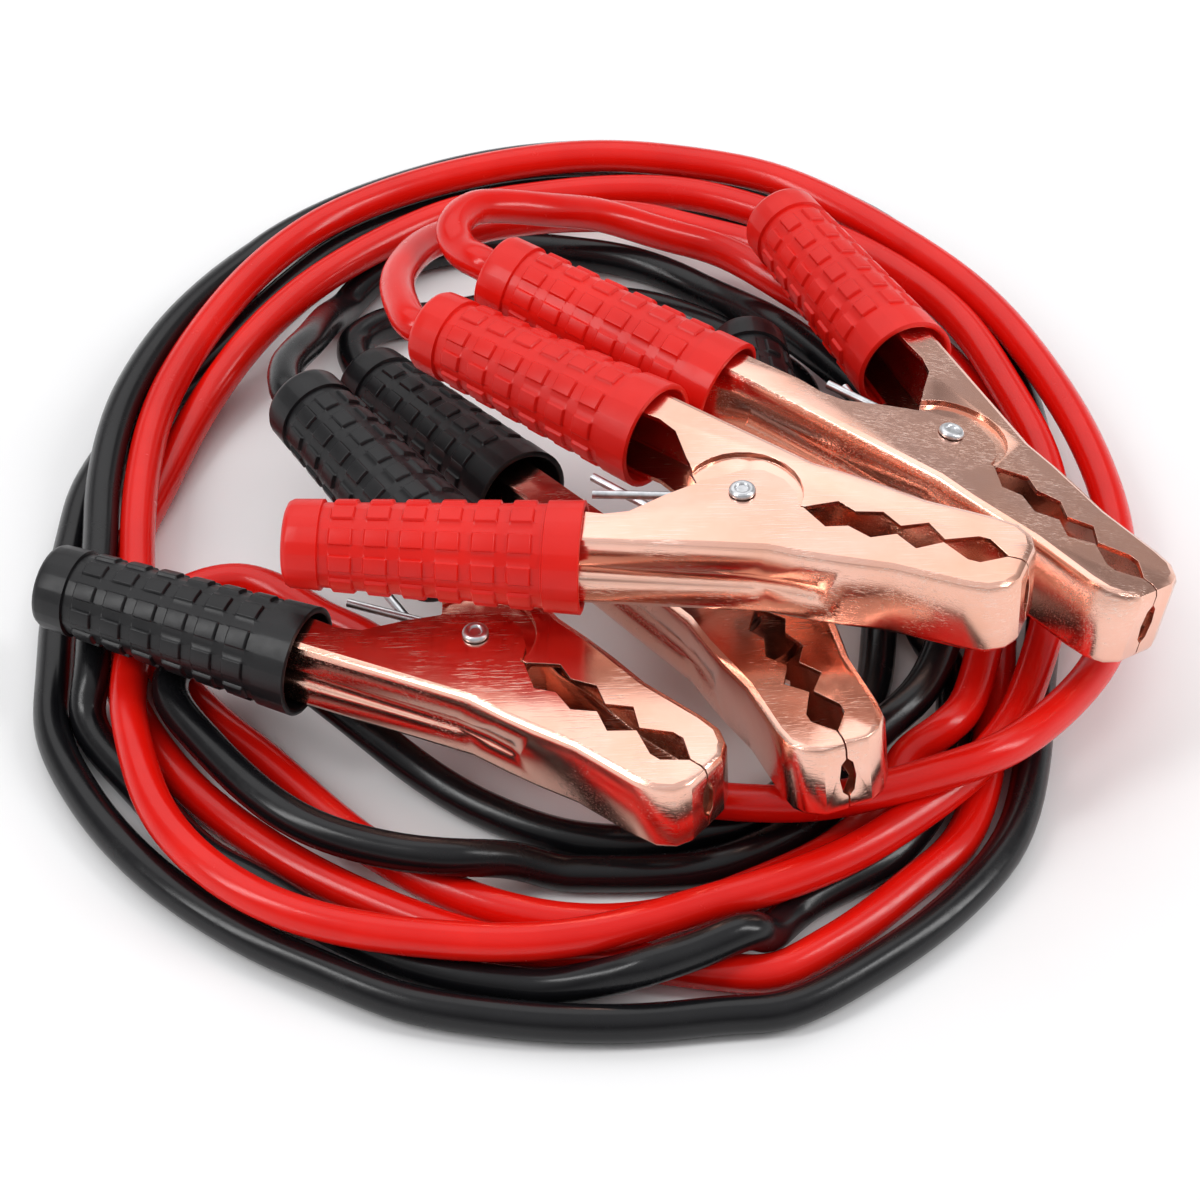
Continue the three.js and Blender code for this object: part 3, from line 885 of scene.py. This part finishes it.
# Routes of the two cables, mm in the photo's frame, from the first clamp's grip to the last one's
RED_ROUTE = [
    (-33, 65, 53), (-35, 73, 53), (-31, 83, 51), (-24, 88, 48), (-13, 93, 43), (0, 101, 35),
    (15, 104, 27), (31, 104, 21), (47, 93, 18), (64, 80, 14), (79, 60, 12.8), (88, 38, 12.8),
    (91, 13, 12.8), (91, -10, 12.8), (87, -30, 12.8), (82, -47, 12.8), (76, -55, 12.8), (68, -60, 9),
    (62, -71, 4.3), (51, -83, 4.3), (35, -93, 4.3), (15, -102, 4.3), (-4, -104, 4.3), (-22, -100, 4.3),
    (-39, -91, 4.3), (-56, -77, 4.3), (-74, -57, 4.3), (-85, -46, 4.3), (-94, -35, 4.3),
    (-100, -27, 4.3), (-103, -18, 4.3), (-102, -8, 4.3), (-95, -1, 4.3), (-85, 2, 4.3), (-75, -2, 4.3),
    (-65, -10, 4.3), (-53, -18, 4.3), (-34, -37, 7), (-20, -51, 10), (-4, -65, 12.8), (15, -74, 12.8),
    (33, -79, 15), (48, -80, 16.5), (62, -78, 18.5), (72, -76, 20.5), (82, -73, 22), (91, -67, 21.5),
    (104, -51, 18), (114, -33, 15), (119, -14, 12.8), (121, 10, 12.8), (118, 36, 12.8), (110, 64, 12.8),
    (95, 96, 12.8), (72, 123, 12.8), (47, 143, 12.8), (24, 151, 12.8), (0, 154, 12.8), (-21, 151, 12.8),
    (-42, 144, 12.8), (-59, 135, 12.8), (-74, 123, 12.8), (-88, 104, 12.8), (-100, 78, 12.8),
    (-107, 53, 12.8), (-109, 27, 12.8), (-108, 3, 12.8), (-106, -20, 12.8), (-106, -43, 12.8),
    (-103, -60, 12.8), (-96, -80, 12.8), (-84, -96, 12.8), (-69, -107, 12.8), (-53, -113, 12.8),
    (-36, -116, 12.8), (-17, -117, 12.8), (2, -114, 12.8), (21, -107, 12.8), (39, -100, 12.8),
    (54, -92, 12.8), (68, -81, 12.8), (82, -67, 12.8), (92, -52, 12.8), (99, -33, 12.8),
    (104, -14, 12.8), (107, 10, 12.8), (106, 36, 12.8), (99, 62, 12.8), (89, 88, 12.8), (74, 107, 12.8),
    (57, 121, 12.8), (40, 131, 12.8), (22, 138, 12.8), (3, 139, 12.8), (-17, 136, 12.8),
    (-37, 130, 12.8), (-56, 117, 12.8), (-73, 100, 12.8), (-87, 79, 12), (-98, 59, 7), (-106, 34, 4.3),
    (-112, 9, 4.3), (-113, -13, 4.3), (-109, -33, 4.3), (-101, -50, 4.3), (-89, -67, 4.3),
    (-72, -83, 4.3), (-55, -95, 4.3), (-34, -106, 4.3), (-16, -112, 4.3), (0, -114, 4.3),
    (13, -116, 4.3), (26, -118, 4.3), (37, -118, 4.3), (47, -112, 4.3), (57, -104, 4.3), (68, -93, 4.3),
    (78, -82, 4.3), (84, -68, 4.3), (87, -54, 4.3), (90, -37, 4.3), (92, -18, 4.3), (94, -1, 4.3),
    (96, 19, 4.3), (97, 44, 4.3), (93, 67, 4.3), (84, 85, 4.3), (75, 93, 8), (66, 98, 13.4),
    (54, 104, 13.2), (42, 115, 12.8), (26, 122, 12.8), (10, 125, 15), (-5, 121, 19), (-19, 112, 25),
    (-31, 101, 31), (-42, 86, 38), (-47, 70, 44), (-48, 57, 48),
]
BLACK_ROUTE = [
    (-61, 78, 9), (-61, 84, 8), (-57, 91, 6.5), (-51, 96, 5), (-43, 98, 4.3), (-34, 100, 4.3),
    (-23, 103, 4.3), (-8, 104, 4.3), (10, 103, 4.3), (28, 94, 4.3), (40, 83, 4.3), (49, 70, 6),
    (52, 49, 10), (57, 29, 12.8), (64, 10, 12.8), (70, -4, 12), (75, -17, 5.5), (80, -28, 4.3),
    (80, -42, 4.3), (77, -59, 4.3), (72, -72, 4.3), (63, -85, 4.3), (52, -93, 4.3), (42, -101, 4.3),
    (36, -110, 7.6), (31, -114, 12.8), (21, -119, 12.8), (10, -123, 12), (0, -123, 8), (-14, -122, 4.3),
    (-37, -117, 4.3), (-57, -106, 4.2), (-73, -94, 4.3), (-87, -84, 4.3), (-102, -65, 4.3),
    (-115, -46, 5.5), (-115, -35, 11.5), (-116, -14, 12.8), (-117, 7, 12.8), (-118, 27, 12.8),
    (-116, 53, 12.8), (-109, 80, 11), (-100, 102, 8), (-88, 123, 4.3), (-73, 138, 4.3), (-53, 151, 4.3),
    (-29, 161, 4.3), (-3, 165, 4.3), (24, 162, 4.3), (50, 151, 4.3), (73, 134, 4.3), (89, 109, 4.3),
    (101, 82, 4.3), (106, 52, 4.3), (106, 23, 4.3), (104, -5, 4.3), (100, -31, 4.3), (97, -54, 4.3),
    (90, -80, 4.3), (75, -101, 4.3), (57, -117, 4.3), (40, -128, 4.3), (26, -130, 4.3), (9, -132, 4.3),
    (-8, -132, 4.3), (-25, -130, 4.3), (-42, -126, 4.3), (-58, -118, 4.3), (-74, -109, 4.3),
    (-92, -95, 4.3), (-105, -81, 4.3), (-115, -66, 4.3), (-123, -48, 4.3), (-125, -28, 4.3),
    (-126, -5, 4.3), (-125, 16, 4.3), (-123, 34, 4.3), (-115, 55, 4.3), (-105, 71, 4.3), (-95, 85, 4.3),
    (-87, 98, 4.3), (-77, 113, 4.3), (-65, 127, 4.3), (-47, 139, 4.3), (-26, 147, 4.3), (-3, 150, 4.3),
    (26, 144, 4.3), (47, 130, 4.3), (58, 110, 4.2), (64, 88, 4.3), (71, 63, 4.3), (73, 37, 4.3),
    (69, 14, 4.3), (65, -11, 4.3), (62, -34, 4.3), (55, -51, 4.3), (44, -63, 4.3), (33, -74, 4.3),
    (22, -78, 4.3), (9, -81, 4.3), (-9, -79, 4.3), (-27, -70, 4.3), (-41, -60, 6), (-52, -52, 10),
    (-64, -42, 12.8), (-72, -35, 12.8), (-79, -30, 12.8), (-86, -28, 12.8), (-92, -30, 12.8),
    (-96, -36, 12.8), (-96, -45, 12.8), (-88, -58, 12.8), (-74, -75, 12.8), (-61, -85, 12.8),
    (-45, -91, 12.8), (-32, -93, 12.8), (-19, -90, 8.5), (-7, -90, 4.3), (9, -90, 4.3), (24, -88, 4.3),
    (38, -81, 4.3), (48, -73, 4.3), (55, -65, 7), (60, -56, 11), (71, -44, 12.8), (78, -27, 12.8),
    (81, -7, 12.8), (81, 13, 12.8), (75, 33, 12.8), (68, 52, 12.8), (59, 67, 12.8), (45, 84, 12.8),
    (29, 106, 5), (9, 120, 4.3), (-11, 125, 4.3), (-28, 127, 4.3), (-44, 124, 4.3), (-55, 117, 4.3),
    (-64, 103, 4.3), (-68, 88, 12), (-71, 68, 22), (-75, 52, 28),
]


@dataclass
class Studio:
    """The camera, a pale floor and soft lights."""
    floor_size: float = 14.0
    key_power: float = 5.6
    fill_power: float = 6.0
    rim_power: float = 6.0
    paper: Colour = (0.90, 0.90, 0.90, 1.0)
    bright_paper: Colour = (0.93, 0.93, 0.93, 1.0)
    room: tuple[tuple[float, Colour], ...] = (
        (0.0, (0.95, 0.95, 0.96, 1.0)),
        (0.45, (0.22, 0.21, 0.21, 1.0)),
        (1.0, (0.85, 0.85, 0.87, 1.0)),
    )

    def camera(self) -> None:
        """Sets the camera at the photograph's viewing angle."""
        lens = bpy.data.cameras.new("camera")
        lens.lens = LENS
        lens.sensor_width = SENSOR
        lens.clip_end = 20.0
        made = bpy.data.objects.new("camera", lens)
        bpy.context.scene.collection.objects.link(made)
        tilt = math.radians(CAMERA_ELEVATION)
        away = Vector((0.0, -math.cos(tilt), math.sin(tilt))) * CAMERA_DISTANCE
        made.location = (away - ORIGIN) * MM
        made.rotation_euler = (math.pi / 2.0 - tilt, 0.0, 0.0)
        bpy.context.scene.camera = made

    def floor(self) -> None:
        """Lays a wide pale floor."""
        half = self.floor_size / 2.0
        mesh = bpy.data.meshes.new("floor")
        corners = [(-half, -half, 0.0), (half, -half, 0.0), (half, half, 0.0), (-half, half, 0.0)]
        mesh.from_pydata(corners, [], [(0, 1, 2, 3)])
        paint = Shader("white_paper_floor")
        cloud = paint.noise(paint.place(), 30.0, 3.0)
        tone = paint.blend(cloud, self.paper, self.bright_paper)
        mesh.materials.append(paint.dress({"Base Color": tone, "Roughness": 0.9}))
        made = bpy.data.objects.new("floor", mesh)
        bpy.context.scene.collection.objects.link(made)

    @staticmethod
    def lamp(name: str, power: float, size: tuple[float, float], at: Point) -> None:
        """Hangs one soft lamp that faces the object.

        Args:
            name: its name.
            power: its power in watts.
            size: its width and height in metres.
            at: its place in metres.
        """
        light = bpy.data.lights.new(name, "AREA")
        light.shape = "RECTANGLE"
        light.size, light.size_y = size
        light.energy = power
        made = bpy.data.objects.new(name, light)
        bpy.context.scene.collection.objects.link(made)
        made.location = at
        made.rotation_euler = (-Vector(at)).to_track_quat("-Z", "Y").to_euler()

    def sky(self) -> None:
        """Surrounds the scene with a pale room that is darker overhead, for the copper to mirror."""
        world = bpy.data.worlds.new("studio")
        bpy.context.scene.world = world
        bench = NodeBench(world)
        ahead = bench.node("ShaderNodeTexCoord", {}, {}, "Generated")
        height = bench.node("ShaderNodeSeparateXYZ", {}, {0: ahead}, "Z")
        colour = bench.node("ShaderNodeValToRGB", {"stops": self.room}, {0: height})
        glow = bench.node("ShaderNodeBackground", {}, {"Color": colour, "Strength": 1.0})
        bench.node("ShaderNodeOutputWorld", {}, {"Surface": glow})

    def lights(self) -> None:
        """Hangs the lamps and sets the room."""
        self.lamp("key_softbox", self.key_power, (1.7, 1.2), (-0.2, 0.75, 1.05))
        self.lamp("fill_softbox", self.fill_power, (0.22, 0.9), (1.0, -0.15, 0.8))
        self.lamp("side_softbox", self.rim_power, (0.22, 0.9), (-0.9, -0.35, 0.95))
        self.sky()
        bpy.context.scene.view_settings.view_transform = "Standard"


# Name, pivot, turn, rise, lean, places of the upper and lower grips, cable's half, moving half, rubber
CLAMP_A = Clamp(
    "clamp_a", (77.5, 1.0, 40.9), -49.2, -1.9, -14.1, 3.7, 14.5, Side.LOWER, Side.UPPER, RED_GRIP,
)
CLAMP_B = Clamp(
    "clamp_b", (31.0, -35.3, 56.8), -21.5, 1.6, -0.6, -2.5, -2.2, Side.UPPER, Side.LOWER, RED_GRIP,
)
CLAMP_C = Clamp(
    "clamp_c", (-26.7, -52.1, 30.6), -39.8, 0.8, 3.0, -4.0, 0.0, Side.UPPER, Side.LOWER, BLACK_GRIP,
)
CLAMP_D = Clamp(
    "clamp_d", (30.3, -29.8, 27.2), -69.7, 6.6, 3.0, -1.0, 29.5, Side.LOWER, Side.UPPER, BLACK_GRIP,
)
CABLES = (
    Cable("red_cable", "cable_red", RED_ROUTE, CLAMP_A, CLAMP_B, RED_JACKET, 2.69),
    Cable("black_cable", "cable_black", BLACK_ROUTE, CLAMP_D, CLAMP_C, BLACK_JACKET, 2.68),
)


def main() -> None:
    """Builds the camera, the cables, the clamps and the studio, in that order."""
    logging.basicConfig(level=logging.INFO, format="%(message)s")
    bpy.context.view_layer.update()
    studio = Studio()
    shop = Workshop()
    studio.camera()
    for cable in CABLES:
        cable.build(shop)
    for clamp in (CLAMP_A, CLAMP_B, CLAMP_C, CLAMP_D):
        clamp.build(shop)
    studio.floor()
    studio.lights()


if __name__ == "__main__":
    main()
